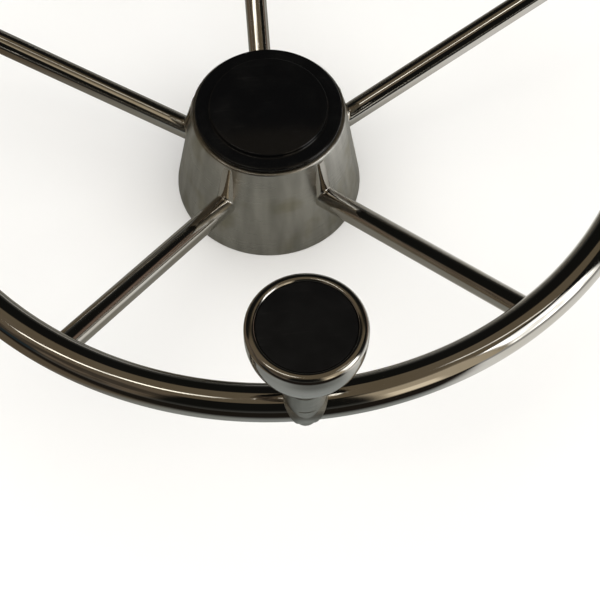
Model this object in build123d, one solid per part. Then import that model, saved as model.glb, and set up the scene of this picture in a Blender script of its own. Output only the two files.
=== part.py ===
from build123d import *
import math
import os

# Stainless steel boat steering wheel: a tube rim on five bent tube spokes, a conical hub shell
# with a taper-bored boss inside it and a snap-in cap, and a spinner knob that turns freely on a
# spindle through the rim. All sizes are in millimetres. The origin is on the wheel's axis in the
# plane of the hub's base, +Z points to the driver, and the knob stands at -Y.

# Rim tube
RIM_DIAMETER = 393.5
RIM_TUBE_DIAMETER = 17.5
RIM_WALL = 1.2
RIM_HEIGHT = 105.0  # tube centre above the hub's base

# Hub shell: a cone of sheet with a flange turned in at the top
HUB_BASE_DIAMETER = 98.6
HUB_TOP_DIAMETER = 79.4
HUB_HEIGHT = 62.4
HUB_SHEET = 1.5
HUB_LIP_ROUND = 1.3
HUB_FLANGE_WIDTH = 6.2

# Web and boss inside the hub
WEB_HEIGHT = 12.0
WEB_THICKNESS = 3.0
BOSS_WALL = 9.5  # round the shaft
BOSS_LENGTH = 36.0
BOSS_RECESS = 4.0  # boss end above the hub's base
SHAFT_DIAMETER = 19.05  # 3/4 in helm shaft
TAPER = 1 / 12  # on the diameter, per unit length
MOUTH_LENGTH = 5.0
MOUTH_CLEARANCE = 0.1
KEYWAY_WIDTH = 4.8
KEYWAY_DEPTH = 2.4

# Washer and nut for the helm shaft's 1/2-20 thread
THREAD_DIAMETER = 12.7
THREAD_DEPTH = 0.7  # nut's bore is at the thread's minor diameter
SHAFT_NUT_FLATS = 19.0
SHAFT_NUT_HEIGHT = 10.9
SHAFT_WASHER_OVERHANG = 3.5  # past the nut's flats
SHAFT_WASHER_CLEARANCE = 0.4
SHAFT_WASHER_THICKNESS = 2.5

# Spokes
SPOKE_COUNT = 5
SPOKE_DIAMETER = 11.6
SPOKE_WALL = 1.5
SPOKE_DROP = 4.0  # axis below the rim tube's centre where it crosses the rim's centre line
SPOKE_SETBACK = 2.5  # the tube stops this far inside the rim's centre line
BEND_HEIGHT = 31.5
BEND_INSET = 3.2  # mitre point inside the cone's surface
UPPER_LEG_PROUD = 0.35  # how far the upper leg's end stands out of the cone
UPPER_LEG_GAP = 2.0  # below the hub's top flange

# Hub cap: rounded flange, raised crowned centre, snap legs between the spokes
CAP_INSET = 1.7  # cap's edge inside the shell's top edge
CAP_FLANGE_WIDTH = 7.5
CAP_FLANGE_THICKNESS = 2.6
CAP_EDGE_ROUND = 1.1
CAP_STEP_HEIGHT = 2.2
CAP_STEP_ROUND = 1.0
CAP_CROWN = 1.6
CAP_WALL = 2.0
SNAP_CLEARANCE = 0.2
SNAP_ARC = 26.0  # degrees round the axis
SNAP_THICKNESS = 1.8
SNAP_LENGTH = 5.6
SNAP_BARB = 0.9

# Spinner knob: a bell with a rolled bead round a black inlay. Depths are below its top.
KNOB_LENGTH = 48.9
KNOB_DIAMETER = 52.4
KNOB_SHOULDER_DEPTH = 6.3
KNOB_WAIST_DIAMETER = 36.8
KNOB_WAIST_DEPTH = 29.3
KNOB_WALL = 2.0
NECK_WALL = 1.6  # round the lower bush's flange
BEAD_WIDTH = 4.75
BEAD_OUTER_ROUND = 2.9
BEAD_INNER_ROUND = 1.6
INLAY_THICKNESS = 2.2
INLAY_RECESS = 0.5
INLAY_CROWN = 0.35
INLAY_CLEARANCE = 0.05
LEDGE_WIDTH = 1.8
LEDGE_THICKNESS = 1.4

# Spindle, bushes, washers and lock nut
SPINDLE_DIAMETER = 8.0
SPINDLE_CLEARANCE = 0.15
SPINDLE_FLANGE_WIDTH = 2.5
SPINDLE_FLANGE = 2.0
STUD_SHOULDER = 1.0  # spindle's step down to the stud
STUD_SPARE = 1.0  # past the lock nut
BUSH_WALL = 1.95
BUSH_LENGTH = 7.5
BUSH_SPACING = 2.2
BUSH_FLANGE_WIDTH = 2.0
BUSH_FLANGE = 1.2
RUNNING_CLEARANCE = 0.05
END_FLOAT = 0.15
NECK_CLEARANCE = 0.6  # between the spindle and the neck's bore from bush to bush
THRUST_WASHER_INSET = 0.8  # inside the knob's neck
THRUST_WASHER_THICKNESS = 0.8
RETAINING_WASHER_OVERHANG = 1.0  # past the upper bush's flange
RETAINING_WASHER_THICKNESS = 1.6
LOCK_NUT_WALL = 2.0
LOCK_NUT_HEIGHT = 6.0

# Saddle between the knob and the rim: a column with a shield-shaped skirt hugging the tube
SADDLE_OVERHANG = 0.1  # past the knob's neck
SADDLE_COLUMN = 11.5  # above the top of the rim tube
SKIRT_THICKNESS = 1.2
SKIRT_REACH = 5.2  # below the rim tube's centre
SKIRT_TIP_RADIUS = 4.9
SLOT_LENGTH = 8.4
SLOT_WIDTH = 0.9
SLOT_DEPTH = 0.8
SLOT_DROP = 12.25  # below the saddle's top

# Coped washer and low sleeve nut under the rim
UNDER_WASHER_OVERHANG = 0.5  # past the sleeve nut's head
UNDER_WASHER_THICKNESS = 0.9
UNDER_WASHER_COPE = 2.4
SLEEVE_WALL = 1.5  # round the spindle's foot, the sleeve being as thick as the spindle
SLEEVE_TOP = 0.0
SLEEVE_GAP = 1.0  # up to the spindle's shoulder
SLEEVE_FLOOR = 0.65  # end of the thread above the head's seat
SLEEVE_HEAD_OVERHANG = 1.5
SLEEVE_HEAD_THICKNESS = 2.8
SLEEVE_HEAD_ROUND = 2.0
SLEEVE_SOCKET_FLATS = 4.0
SLEEVE_SOCKET_DEPTH = 1.6
THREAD_SPARE = 1.0  # empty thread past the spindle's end

# Limits on bevels and roundings
NUT_BEVEL = 0.96  # circle left flat on a nut's end, as a share of its flats
ROUND_LIMIT = 0.45  # largest rounding, as a share of the thickness it is on

# Sizes and places worked out from those above
RIM_RADIUS = (RIM_DIAMETER - RIM_TUBE_DIAMETER) / 2
TUBE_RADIUS = RIM_TUBE_DIAMETER / 2
CAP_HOLE_RADIUS = HUB_TOP_DIAMETER / 2 - HUB_FLANGE_WIDTH
SNAP_RADIUS = CAP_HOLE_RADIUS - SNAP_CLEARANCE
FLANGE_BASE = HUB_HEIGHT - HUB_SHEET
BOSS_DIAMETER = SHAFT_DIAMETER + 2 * BOSS_WALL
BOSS_TOP = BOSS_RECESS + BOSS_LENGTH
NUT_BASE = BOSS_TOP + SHAFT_WASHER_THICKNESS
STUD_DIAMETER = SPINDLE_DIAMETER - 2 * STUD_SHOULDER
SPINDLE_HOLE = SPINDLE_DIAMETER + 2 * SPINDLE_CLEARANCE
BUSH_BORE = SPINDLE_DIAMETER + 2 * RUNNING_CLEARANCE
BUSH_DIAMETER = BUSH_BORE + 2 * BUSH_WALL
BUSH_FLANGE_DIAMETER = BUSH_DIAMETER + 2 * BUSH_FLANGE_WIDTH
NECK_DIAMETER = BUSH_FLANGE_DIAMETER + 2 * NECK_WALL
NECK_LENGTH = 2 * BUSH_LENGTH - BUSH_FLANGE + BUSH_SPACING
SADDLE_DIAMETER = NECK_DIAMETER + 2 * SADDLE_OVERHANG
SADDLE_TOP = TUBE_RADIUS + SADDLE_COLUMN
KNOB_END = SADDLE_TOP + THRUST_WASHER_THICKNESS + END_FLOAT
KNOB_TOP = KNOB_END + KNOB_LENGTH
NECK_TOP = KNOB_END + NECK_LENGTH
SEAT_DIAMETER = KNOB_DIAMETER - 2 * BEAD_WIDTH
INLAY_DIAMETER = SEAT_DIAMETER - 2 * INLAY_CLEARANCE
LEDGE_TOP = KNOB_TOP - INLAY_RECESS - INLAY_THICKNESS
RETAINER_BASE = NECK_TOP + BUSH_FLANGE + END_FLOAT
LOCK_NUT_BASE = RETAINER_BASE + RETAINING_WASHER_THICKNESS
LOCK_NUT_TOP = LOCK_NUT_BASE + LOCK_NUT_HEIGHT
SPINDLE_FOOT_DIAMETER = SPINDLE_DIAMETER - 2 * SLEEVE_WALL
SLEEVE_HEAD_DIAMETER = SPINDLE_DIAMETER + 2 * SLEEVE_HEAD_OVERHANG
SLEEVE_SEAT = -TUBE_RADIUS - UNDER_WASHER_THICKNESS
SLEEVE_THREAD_END = SLEEVE_SEAT + SLEEVE_FLOOR
AT_KNOB = Pos(0, -RIM_RADIUS, RIM_HEIGHT)


def turned(profile, degrees=360):
    """Turn a (radius, height) profile about the Z axis."""
    return revolve(Plane.XZ * profile, Axis.Z, degrees)


def outline(*corners):
    """Face with these (radius, height) corners."""
    return make_face(Polyline(*corners, close=True))


def rounded(profile, *corners):
    """Profile with the corner nearest each (radius, height, rounding) rounded."""
    for radius, height, rounding in corners:
        corner = profile.vertices().sort_by_distance((radius, height, 0))[0]
        profile = fillet(corner, rounding)
    return profile


def disc(diameter, base, top):
    """Solid cylinder about the Z axis between two heights."""
    return Pos(0, 0, base) * extrude(Circle(diameter / 2), top - base)


def ring(diameter, bore, base, top):
    """Flat ring about the Z axis between two heights."""
    return disc(diameter, base, top) - disc(bore, base, top)


def hexagon(flats, base, top):
    """Hexagon bar about the Z axis with the corners of both ends turned off at 30 degrees."""
    corner = flats / math.sqrt(3)
    bevel_start = NUT_BEVEL * flats / 2
    drop = (corner - bevel_start) * math.tan(math.radians(30))
    bar = Pos(0, 0, base) * extrude(RegularPolygon(corner, 6), top - base)
    envelope = outline(
        (0, base),
        (bevel_start, base),
        (corner, base + drop),
        (corner, top - drop),
        (bevel_start, top),
        (0, top),
    )
    return bar & turned(envelope)


def rim_torus(tube_radius):
    """Full torus round the rim's centre line."""
    return turned(Pos(RIM_RADIUS, RIM_HEIGHT) * Circle(tube_radius))


def cone_radius(height):
    """Outer radius of the hub shell at a height."""
    share = height / HUB_HEIGHT
    return (HUB_BASE_DIAMETER * (1 - share) + HUB_TOP_DIAMETER * share) / 2


def spoke_rod(diameter):
    """Rod along a spoke's route over the +X axis: down the cone, a mitred bend, out to the rim."""
    end_height = FLANGE_BASE - UPPER_LEG_GAP
    end = Vector(cone_radius(end_height) + UPPER_LEG_PROUD - SPOKE_DIAMETER / 2, 0, end_height)
    bend = Vector(cone_radius(BEND_HEIGHT) - BEND_INSET, 0, BEND_HEIGHT)
    meeting = Vector(RIM_RADIUS, 0, RIM_HEIGHT - SPOKE_DROP)
    outward = (meeting - bend) / (meeting.X - bend.X)
    route = Polyline(end, bend, meeting - outward * SPOKE_SETBACK)
    section = Plane(origin=end, z_dir=bend - end) * Circle(diameter / 2)
    return sweep(section, route, transition=Transition.RIGHT)


def in_pattern(solid, pitches):
    """Copy of a solid made over +X, turned so many spoke pitches round from -Y."""
    return Rot(0, 0, -90 + pitches * 360 / SPOKE_COUNT) * solid


def make_rim():
    hole = AT_KNOB * Cylinder(SPINDLE_HOLE / 2, 2 * RIM_TUBE_DIAMETER)
    return rim_torus(TUBE_RADIUS) - rim_torus(TUBE_RADIUS - RIM_WALL) - hole


def make_spoke():
    """Spoke tube over +X, its outer end coped to the rim."""
    return spoke_rod(SPOKE_DIAMETER) - spoke_rod(SPOKE_DIAMETER - 2 * SPOKE_WALL) - rim_torus(TUBE_RADIUS)


def make_hub_shell():
    """Sheet cone with a turned-in top flange and a notch for each spoke."""
    base = HUB_BASE_DIAMETER / 2
    top = HUB_TOP_DIAMETER / 2
    wall = outline(
        (base - HUB_SHEET, 0),
        (base, 0),
        (top, HUB_HEIGHT),
        (CAP_HOLE_RADIUS, HUB_HEIGHT),
        (CAP_HOLE_RADIUS, FLANGE_BASE),
        (cone_radius(FLANGE_BASE) - HUB_SHEET, FLANGE_BASE),
    )
    shell = turned(rounded(wall, (top, HUB_HEIGHT, HUB_LIP_ROUND)))
    for place in range(SPOKE_COUNT):
        shell -= in_pattern(spoke_rod(SPOKE_DIAMETER), place + 0.5)
    return shell


def make_hub_web():
    """Disc between the boss and the shell, its edge bevelled to the cone."""
    top = WEB_HEIGHT + WEB_THICKNESS
    boss = BOSS_DIAMETER / 2
    lower_edge = cone_radius(WEB_HEIGHT) - HUB_SHEET
    upper_edge = cone_radius(top) - HUB_SHEET
    return turned(outline((boss, WEB_HEIGHT), (lower_edge, WEB_HEIGHT), (upper_edge, top), (boss, top)))


def make_hub_boss():
    """Boss with a straight mouth, a tapered bore and a keyway at +Y."""
    shaft = SHAFT_DIAMETER / 2
    mouth = shaft + MOUTH_CLEARANCE
    mouth_top = BOSS_RECESS + MOUTH_LENGTH
    small_end = shaft - (BOSS_TOP - mouth_top) * TAPER / 2
    body = outline(
        (mouth, BOSS_RECESS),
        (BOSS_DIAMETER / 2, BOSS_RECESS),
        (BOSS_DIAMETER / 2, BOSS_TOP),
        (small_end, BOSS_TOP),
        (shaft, mouth_top),
        (mouth, mouth_top),
    )
    reach = shaft + KEYWAY_DEPTH
    keyway = Pos(0, reach / 2, BOSS_TOP / 2) * Box(KEYWAY_WIDTH, reach, 2 * BOSS_TOP)
    return turned(body) - keyway


def make_hub_cap():
    edge = HUB_TOP_DIAMETER / 2 - CAP_INSET
    step = edge - CAP_FLANGE_WIDTH
    flange_top = HUB_HEIGHT + CAP_FLANGE_THICKNESS
    step_top = flange_top + CAP_STEP_HEIGHT
    crown_top = step_top + CAP_CROWN
    skirt = SNAP_RADIUS - SNAP_THICKNESS
    crown_radius = (step**2 + CAP_CROWN**2) / (2 * CAP_CROWN)
    half_angle = math.asin(step / crown_radius) / 2
    crown_drop = crown_radius * (1 - math.cos(half_angle))
    crown_middle = (crown_radius * math.sin(half_angle), crown_top - crown_drop)
    sides = Polyline(
        (0, crown_top),
        (0, step_top - CAP_WALL),
        (step - CAP_WALL, step_top - CAP_WALL),
        (step - CAP_WALL, flange_top - CAP_WALL),
        (skirt, flange_top - CAP_WALL),
        (skirt, HUB_HEIGHT),
        (edge, HUB_HEIGHT),
        (edge, flange_top),
        (step, flange_top),
        (step, step_top),
    )
    crown = ThreePointArc((step, step_top), crown_middle, (0, crown_top))
    edge_round = min(CAP_EDGE_ROUND, ROUND_LIMIT * CAP_FLANGE_THICKNESS)
    step_round = min(CAP_STEP_ROUND, ROUND_LIMIT * CAP_STEP_HEIGHT)
    profile = rounded(
        make_face(sides + crown),
        (edge, HUB_HEIGHT, edge_round),
        (edge, flange_top, edge_round),
        (step, flange_top, step_round),
        (step, step_top, step_round),
    )
    catch = FLANGE_BASE - END_FLOAT
    leg = outline(
        (skirt, HUB_HEIGHT),
        (skirt, HUB_HEIGHT - SNAP_LENGTH),
        (SNAP_RADIUS, HUB_HEIGHT - SNAP_LENGTH),
        (SNAP_RADIUS + SNAP_CLEARANCE + SNAP_BARB, catch - SNAP_BARB),
        (SNAP_RADIUS + SNAP_CLEARANCE + SNAP_BARB, catch),
        (SNAP_RADIUS, catch),
        (SNAP_RADIUS, HUB_HEIGHT),
    )
    cap = turned(profile)
    for place in range(SPOKE_COUNT):
        cap += in_pattern(Rot(0, 0, -SNAP_ARC / 2) * turned(leg, SNAP_ARC), place)
    return cap


def make_shaft_nut():
    top = NUT_BASE + SHAFT_NUT_HEIGHT
    return hexagon(SHAFT_NUT_FLATS, NUT_BASE, top) - disc(THREAD_DIAMETER - 2 * THREAD_DEPTH, NUT_BASE, top)


def make_shaft_washer():
    diameter = SHAFT_NUT_FLATS + 2 * SHAFT_WASHER_OVERHANG
    return ring(diameter, THREAD_DIAMETER + 2 * SHAFT_WASHER_CLEARANCE, BOSS_TOP, NUT_BASE)


def knob_bell(inset):
    """Bell of the knob, from its lower end to its top, with every radius less by an inset."""
    knob = KNOB_DIAMETER / 2 - inset
    waist = KNOB_WAIST_DIAMETER / 2 - inset
    neck = NECK_DIAMETER / 2 - inset
    shoulder_height = KNOB_TOP - KNOB_SHOULDER_DEPTH
    waist_height = KNOB_TOP - KNOB_WAIST_DEPTH
    upper = TangentArc((knob, shoulder_height), (waist, waist_height), tangent=(0, -1))
    lower = TangentArc((waist, waist_height), (neck, KNOB_END), tangent=upper % 1)
    ends = [(neck, KNOB_END), (0, KNOB_END), (0, KNOB_TOP), (knob, KNOB_TOP), (knob, shoulder_height)]
    return make_face(upper + lower + Polyline(*ends))


def make_knob_body():
    """Hollow bell with a rolled bead, an inlay seat on a ledge, and a solid neck bored for bushes."""
    knob = KNOB_DIAMETER / 2
    seat = SEAT_DIAMETER / 2
    bead_base = KNOB_TOP - BEAD_INNER_ROUND
    bead_crest = seat + BEAD_INNER_ROUND
    ledge_base = LEDGE_TOP - LEDGE_THICKNESS
    bead_corner = Pos(seat, bead_base) * Rectangle(BEAD_INNER_ROUND, BEAD_INNER_ROUND, align=Align.MIN)
    bead_corner -= Pos(bead_crest, bead_base) * Circle(BEAD_INNER_ROUND)
    cuts = [
        turned(knob_bell(KNOB_WALL)) & disc(KNOB_DIAMETER, NECK_TOP, ledge_base),
        turned(bead_corner),
        disc(SEAT_DIAMETER, LEDGE_TOP, KNOB_TOP),
        disc(SEAT_DIAMETER - 2 * LEDGE_WIDTH, ledge_base, LEDGE_TOP),
        disc(SPINDLE_DIAMETER + 2 * NECK_CLEARANCE, KNOB_END, NECK_TOP),
        disc(BUSH_FLANGE_DIAMETER, KNOB_END, KNOB_END + BUSH_FLANGE),
        disc(BUSH_DIAMETER, KNOB_END, KNOB_END + BUSH_LENGTH),
        disc(BUSH_DIAMETER, NECK_TOP + BUSH_FLANGE - BUSH_LENGTH, NECK_TOP),
    ]
    body = turned(rounded(knob_bell(0), (knob, KNOB_TOP, BEAD_OUTER_ROUND)))
    for cut in cuts:
        body -= cut
    return AT_KNOB * body


def make_knob_inlay():
    """Black disc in the bead, its face slightly crowned."""
    edge = INLAY_DIAMETER / 2
    edge_top = LEDGE_TOP + INLAY_THICKNESS - INLAY_CROWN
    crown_radius = (edge**2 + INLAY_CROWN**2) / (2 * INLAY_CROWN)
    ball = Pos(0, 0, edge_top + INLAY_CROWN - crown_radius) * Sphere(crown_radius)
    return AT_KNOB * (disc(INLAY_DIAMETER, LEDGE_TOP, LEDGE_TOP + INLAY_THICKNESS) & ball)


def bush(flange_base, sleeve_base):
    """Flanged plastic bush pressed in the knob's neck, running on the spindle."""
    flange = ring(BUSH_FLANGE_DIAMETER, BUSH_BORE, flange_base, flange_base + BUSH_FLANGE)
    return AT_KNOB * (flange + ring(BUSH_DIAMETER, BUSH_BORE, sleeve_base, sleeve_base + BUSH_LENGTH))


def make_spindle():
    """Shouldered spindle: threaded foot, shank, clamping flange in the saddle, stud in the knob."""
    shoulder = SLEEVE_TOP + SLEEVE_GAP
    foot = disc(SPINDLE_FOOT_DIAMETER, SLEEVE_THREAD_END + THREAD_SPARE, shoulder)
    shank = disc(SPINDLE_DIAMETER, shoulder, RETAINER_BASE)
    flange = disc(SPINDLE_DIAMETER + 2 * SPINDLE_FLANGE_WIDTH, SADDLE_TOP - SPINDLE_FLANGE, SADDLE_TOP)
    stud = disc(STUD_DIAMETER, RETAINER_BASE, LOCK_NUT_TOP + STUD_SPARE)
    return AT_KNOB * (foot + shank + flange + stud)


def make_saddle():
    """Column on the rim, coped over the tube, its skirt a shield on the tube's front and back."""
    half_width = SADDLE_DIAMETER / 2
    tip = Pos(0, SKIRT_TIP_RADIUS - SKIRT_REACH) * Circle(SKIRT_TIP_RADIUS)
    shoulders = Line((-half_width, TUBE_RADIUS), (half_width, TUBE_RADIUS))
    column_face = Pos(0, TUBE_RADIUS + SADDLE_COLUMN / 2) * Rectangle(SADDLE_DIAMETER, SADDLE_COLUMN)
    front_face = make_hull(tip.edges() + shoulders.edges()) + column_face
    shield = extrude(AT_KNOB * (Plane.XZ * front_face), SADDLE_DIAMETER, both=True)
    column = AT_KNOB * disc(SADDLE_DIAMETER, -SKIRT_REACH, SADDLE_TOP)
    saddle = (column & shield) + (rim_torus(TUBE_RADIUS + SKIRT_THICKNESS) & shield)
    flange_seat = SPINDLE_HOLE + 2 * SPINDLE_FLANGE_WIDTH
    cuts = disc(SPINDLE_HOLE, 0, SADDLE_TOP) + disc(flange_seat, SADDLE_TOP - SPINDLE_FLANGE, SADDLE_TOP)
    slot = Pos(0, -half_width, SADDLE_TOP - SLOT_DROP) * Box(SLOT_LENGTH, 2 * SLOT_DEPTH, SLOT_WIDTH)
    return saddle - rim_torus(TUBE_RADIUS) - AT_KNOB * (cuts + slot)


def make_under_washer():
    """Washer under the rim, its top coped to the tube."""
    diameter = SLEEVE_HEAD_DIAMETER + 2 * UNDER_WASHER_OVERHANG
    blank = ring(diameter, SPINDLE_HOLE, SLEEVE_SEAT, UNDER_WASHER_COPE - TUBE_RADIUS)
    return AT_KNOB * blank - rim_torus(TUBE_RADIUS)


def make_sleeve_nut():
    """Low nut: a sleeve up through the rim's lower hole, a rounded head and a hexagon socket."""
    head = SLEEVE_HEAD_DIAMETER / 2
    sleeve = SPINDLE_DIAMETER / 2
    thread = SPINDLE_FOOT_DIAMETER / 2
    head_base = SLEEVE_SEAT - SLEEVE_HEAD_THICKNESS
    profile = outline(
        (0, head_base),
        (head, head_base),
        (head, SLEEVE_SEAT),
        (sleeve, SLEEVE_SEAT),
        (sleeve, SLEEVE_TOP),
        (thread, SLEEVE_TOP),
        (thread, SLEEVE_THREAD_END),
        (0, SLEEVE_THREAD_END),
    )
    nut = turned(rounded(profile, (head, head_base, SLEEVE_HEAD_ROUND)))
    socket = extrude(RegularPolygon(SLEEVE_SOCKET_FLATS / math.sqrt(3), 6), SLEEVE_SOCKET_DEPTH)
    return AT_KNOB * (nut - Pos(0, 0, head_base) * socket)


def make_lock_nut():
    blank = hexagon(STUD_DIAMETER + 2 * LOCK_NUT_WALL, LOCK_NUT_BASE, LOCK_NUT_TOP)
    return AT_KNOB * (blank - disc(STUD_DIAMETER, LOCK_NUT_BASE, LOCK_NUT_TOP))


def make_thrust_washer():
    diameter = NECK_DIAMETER - 2 * THRUST_WASHER_INSET
    return AT_KNOB * ring(diameter, SPINDLE_HOLE, SADDLE_TOP, SADDLE_TOP + THRUST_WASHER_THICKNESS)


def make_retaining_washer():
    diameter = BUSH_FLANGE_DIAMETER + 2 * RETAINING_WASHER_OVERHANG
    return AT_KNOB * ring(diameter, STUD_DIAMETER + 2 * RUNNING_CLEARANCE, RETAINER_BASE, LOCK_NUT_BASE)


nodes = {
    "rim_tube": make_rim(),
    "hub_shell": make_hub_shell(),
    "hub_web": make_hub_web(),
    "hub_boss": make_hub_boss(),
    "shaft_washer": make_shaft_washer(),
    "shaft_nut": make_shaft_nut(),
    "hub_cap": make_hub_cap(),
    "rim_under_washer": make_under_washer(),
    "spindle_sleeve_nut": make_sleeve_nut(),
    "knob_saddle": make_saddle(),
    "knob_spindle": make_spindle(),
    "knob_thrust_washer": make_thrust_washer(),
    "knob_lower_bush": bush(KNOB_END, KNOB_END),
    "knob_upper_bush": bush(NECK_TOP, NECK_TOP + BUSH_FLANGE - BUSH_LENGTH),
    "knob_body": make_knob_body(),
    "knob_inlay": make_knob_inlay(),
    "knob_retaining_washer": make_retaining_washer(),
    "knob_lock_nut": make_lock_nut(),
}
spoke = make_spoke()
for place in range(SPOKE_COUNT):
    nodes[f"spoke_{place + 1}"] = in_pattern(spoke, place + 0.5)

os.makedirs("parts", exist_ok=True)
for name, shape in nodes.items():
    export_step(shape, f"parts/{name}.step")
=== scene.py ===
import math

import bmesh
import bpy
import numpy as np
from mathutils import Matrix, Vector


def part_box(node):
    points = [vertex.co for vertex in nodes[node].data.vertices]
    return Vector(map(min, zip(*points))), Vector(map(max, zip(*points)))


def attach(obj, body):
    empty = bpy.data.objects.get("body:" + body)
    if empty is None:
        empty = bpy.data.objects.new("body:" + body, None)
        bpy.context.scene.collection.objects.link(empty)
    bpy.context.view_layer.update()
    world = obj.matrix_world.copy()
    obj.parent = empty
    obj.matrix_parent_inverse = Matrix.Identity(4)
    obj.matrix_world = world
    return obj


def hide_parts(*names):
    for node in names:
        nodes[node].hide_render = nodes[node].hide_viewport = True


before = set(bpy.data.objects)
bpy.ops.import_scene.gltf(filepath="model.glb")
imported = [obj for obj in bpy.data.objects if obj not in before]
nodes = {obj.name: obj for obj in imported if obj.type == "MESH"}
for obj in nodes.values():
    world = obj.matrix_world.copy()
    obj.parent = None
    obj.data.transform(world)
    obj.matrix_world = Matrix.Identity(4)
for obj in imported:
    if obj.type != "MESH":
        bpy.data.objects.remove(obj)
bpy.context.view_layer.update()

# ---------------------------------------------------------------------------------------------
# The camera looks down on the near half of the wheel, from over the spinner knob. It is aimed
# a little off the wheel's middle, so that the rim's near arc crosses the lower half.
# ---------------------------------------------------------------------------------------------
rim_low, rim_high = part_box("rim_tube")
TUBE_RADIUS = (rim_high.z - rim_low.z) / 2
RIM_RADIUS = rim_high.x - TUBE_RADIUS
RIM_HEIGHT = (rim_high.z + rim_low.z) / 2

CAMERA_AZIMUTH = math.radians(-4.609)
CAMERA_ELEVATION = math.radians(53.1885)
CAMERA_DISTANCE = 4.9211 * RIM_RADIUS
CAMERA_YAW = math.radians(0.974)
CAMERA_PITCH = math.radians(7.332)
CAMERA_ROLL = math.radians(-0.293)
CAMERA_LENS = 111.4  # mm, on a 36 mm sensor


def place_camera():
    """Camera on a sphere round the middle of the rim's plane, then rolled, yawed and pitched."""
    level = math.cos(CAMERA_ELEVATION)
    back = Vector((
        math.sin(CAMERA_AZIMUTH) * level,
        -math.cos(CAMERA_AZIMUTH) * level,
        math.sin(CAMERA_ELEVATION),
    ))
    painted_window_light = Vector((0, 0, 1)).cross(back).normalized()
    up = back.cross(painted_window_light)
    aimed = Matrix((painted_window_light, up, back)).transposed()
    aimed = aimed @ Matrix.Rotation(CAMERA_ROLL, 3, "Z")
    aimed = aimed @ Matrix.Rotation(-CAMERA_YAW, 3, "Y") @ Matrix.Rotation(-CAMERA_PITCH, 3, "X")
    camera = bpy.data.objects.new("camera", bpy.data.cameras.new("camera"))
    camera.data.sensor_width = 36
    camera.data.lens = CAMERA_LENS
    camera.data.clip_start = 0.01
    place = Vector((0, 0, RIM_HEIGHT)) + back * CAMERA_DISTANCE
    camera.matrix_world = Matrix.Translation(place) @ aimed.to_4x4()
    bpy.context.scene.collection.objects.link(camera)
    bpy.context.scene.camera = camera


place_camera()
bpy.context.scene.view_settings.view_transform = "Standard"

# ---------------------------------------------------------------------------------------------
# The studio: a plain pale floor under a wide soft light, in a dim brown room with one window.
# No flags hang in front: painted shade on the floor, seen only in reflections, stands in for
# black flags, and a painted pool of window light lies to the right, so polished steel shows dark
# bands with a few bright edges. The eye sees only the pale floor and backdrop, and the metal sees
# the room and the floor's painted shade and light.
# ---------------------------------------------------------------------------------------------
FLOOR_REACH = 60.0
FLOOR_TONE = (0.90, 0.90, 0.89, 1)
BACKDROP_TONE = (1.0, 1.0, 0.99, 1)
# Floor tones that only the metal sees: painted darker than the floor the eye sees, with painted shade far off
# and to the left.
TABLE_TONE = (0.245, 0.24, 0.212, 1)  # what the metal sees of the floor close by
TABLE_NEAR_TONE = (0.262, 0.28, 0.275, 1)
TABLE_FAR_SHADE_TONE = (0.10, 0.10, 0.095, 1)
FLAG_SHADE_TONE = (0.012, 0.010, 0.008, 1)
WINDOW_LIGHT_POOL_TONE = (0.72, 0.72, 0.70, 1)
SIDE_SHADE_TONE = (0.10, 0.08, 0.055, 1)
HORIZON_TONE = (0.06, 0.06, 0.055, 1)
DARK_TONE = (0.008, 0.008, 0.007, 1)
CEILING_TONE = (0.145, 0.115, 0.075, 1)
LEFT_WALL_TONE = (0.16, 0.125, 0.09, 1)
FAR_RIGHT_TONE = (0.19, 0.135, 0.105, 1)
FAR_LEFT_TONE = (0.15, 0.11, 0.08, 1)
DOORWAY_TONE = (0.02, 0.03, 0.035, 1)
RIGHT_WALL_TONE = (0.50, 0.42, 0.30, 1)
LIT_WALL_TONE = (1.0, 0.86, 0.64, 1)
WINDOW_TONE = (4.0, 3.95, 3.8, 1)
LONG_LAMP_TONE = (2.8, 2.7, 2.4, 1)
SHORT_LAMP_TONE = (1.6, 1.55, 1.4, 1)
SKY_LIGHT = 3.4
SKY_LIGHT_SPREAD = math.radians(110)


def put(tree, kind, inputs, **settings):
    """One node with its settings, each input fed by another node's socket or set to a value."""
    made = tree.nodes.new("ShaderNode" + kind)
    for key, value in settings.items():
        setattr(made, key, value)
    for key, value in inputs.items():
        if isinstance(value, bpy.types.NodeSocket):
            tree.links.new(value, made.inputs[key])
        else:
            made.inputs[key].default_value = value
    return made


def maths(tree, operation, first, second=0.0, third=0.0):
    """Result of one arithmetic step."""
    return put(tree, "Math", {0: first, 1: second, 2: third}, operation=operation).outputs[0]


def ramp(tree, value, low, high, start=0.0, end=1.0):
    """A value that goes smoothly from start to end while another goes from low to high."""
    limits = {0: value, 1: low, 2: high, 3: start, 4: end}
    return put(tree, "MapRange", limits, interpolation_type="SMOOTHSTEP").outputs[0]


def between(tree, value, low, high, soft):
    """1 where a value is between two limits and 0 outside them, over a soft edge."""
    rise = ramp(tree, value, low - soft, low + soft)
    fall = ramp(tree, value, high - soft, high + soft, 1.0, 0.0)
    return maths(tree, "MULTIPLY", rise, fall)


def mixed(tree, share, first, second):
    """Colour between two colours."""
    return put(tree, "Mix", {0: share, 6: first, 7: second}, data_type="RGBA").outputs[2]


def noise(tree, place, scale, detail=3.0, roughness=0.5):
    """Cloudy pattern from 0 to 1."""
    inputs = {"Vector": place, "Scale": scale, "Detail": detail, "Roughness": roughness}
    return put(tree, "TexNoise", inputs).outputs[0]


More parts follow.
